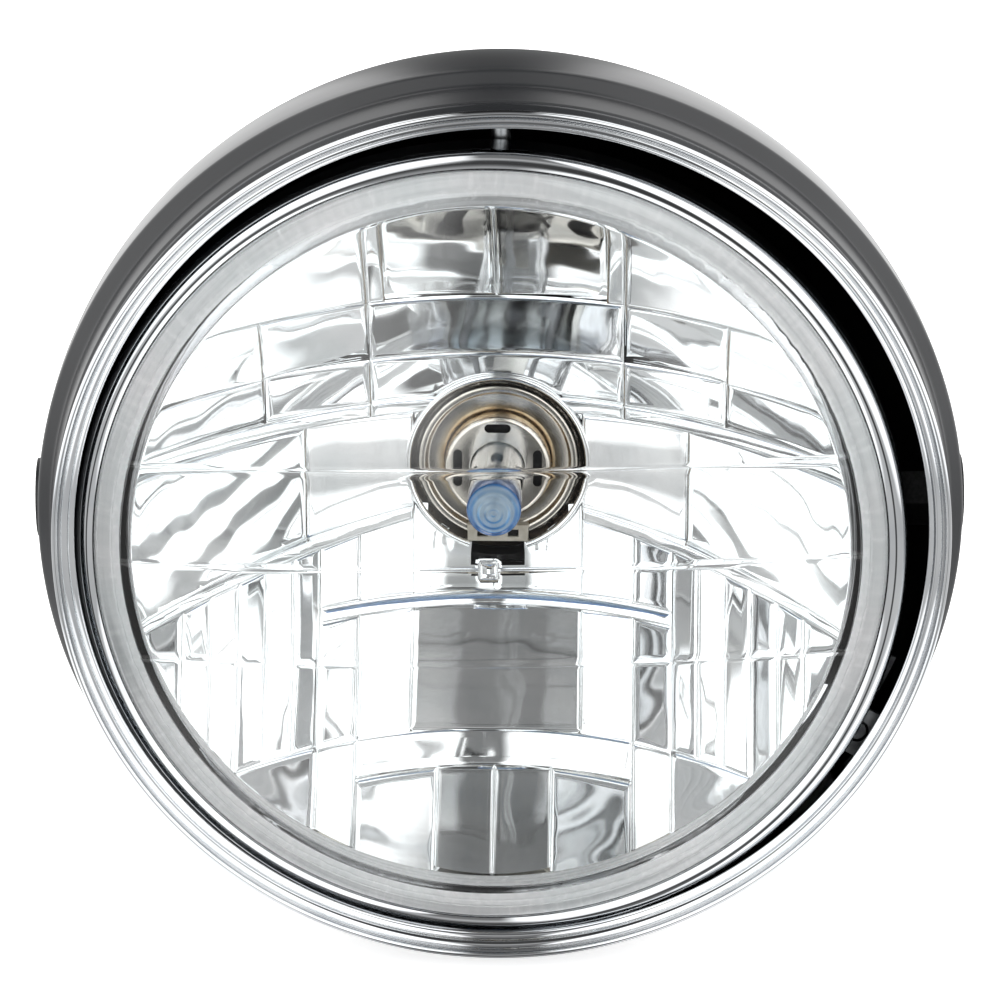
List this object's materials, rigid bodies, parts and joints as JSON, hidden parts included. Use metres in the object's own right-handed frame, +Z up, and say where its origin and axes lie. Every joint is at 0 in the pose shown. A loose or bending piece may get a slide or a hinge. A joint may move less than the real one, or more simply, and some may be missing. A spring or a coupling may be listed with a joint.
{
  "type": "motorcycle headlight",
  "caption": "Round motorcycle headlight: a black domed bucket, a chrome rim, and a clear-lens unit with a faceted reflector that turns in the rim for aim.",
  "frame": {"origin": "middle of the lamp's overall box, on the bucket's axis", "axes": "+Y from the lens to the rear of the bucket, +X to the right as seen from the front, +Z up as fitted"},
  "size_m": [0.2116, 0.1382, 0.2103],
  "materials": {
    "bucket_black": "satin black moulded shell",
    "rim_chrome": "polished chrome plate on pressed steel",
    "ring_chrome": "polished chrome plate on pressed steel",
    "zinc_steel": "bright zinc plate",
    "spring_steel": "drawn spring wire",
    "dark_steel": "black phosphated steel",
    "lens_glass": "clear pressed glass",
    "reflector_silver": "vacuum coated aluminium, lacquered",
    "bulb_metal": "plain nickel plated sheet",
    "bulb_quartz": "quartz glass with a blue coated tip",
    "tungsten": "drawn wire",
    "black_rubber": "moulded rubber"
  },
  "bodies": {
    "housing": {"bucket": "bucket_black", "bucket_back": "bucket_black", "left_stay_nut": "dark_steel", "right_stay_nut": "dark_steel", "wiring_grommet": "black_rubber", "rim": "rim_chrome", "rim_screw": "rim_chrome", "rim_nut": "zinc_steel", "upper_pivot": "zinc_steel", "lower_pivot": "zinc_steel", "adjuster_bracket": "zinc_steel", "adjuster_spring": "spring_steel"},
    "lens_unit": {"mount_ring": "zinc_steel", "retaining_ring": "ring_chrome", "ring_screws": "zinc_steel", "lens": "lens_glass", "lens_gasket": "black_rubber", "reflector": "reflector_silver", "bulb_flange": "bulb_metal", "bulb_glass": "bulb_quartz", "bulb_shield": "bulb_metal", "bulb_filaments": "tungsten", "bulb_base": "bulb_metal", "bulb_blades": "zinc_steel", "bulb_clip": "spring_steel", "dust_boot": "black_rubber", "adjuster_nut": "zinc_steel"},
    "adjuster": {"adjuster_screw": "zinc_steel"}
  },
  "joints": [
    {"name": "beam_aim", "type": "hinge", "parent": "housing", "child": "lens_unit", "pos_m": [0, -0.04485, 0], "axis": [0, 0, 1], "range_deg": [-1, 3.2], "deforming": ["adjuster_spring"]},
    {"name": "adjuster_turn", "type": "hinge", "parent": "housing", "child": "adjuster", "pos_m": [0.08113, -0.03785, -0.04841], "axis": [0, 1, 0], "range_deg": [-764.6, 2403]}
  ],
  "couplings": [
    {"joint": "adjuster_turn", "follows": "beam_aim", "ratio": 728.18}
  ]
}
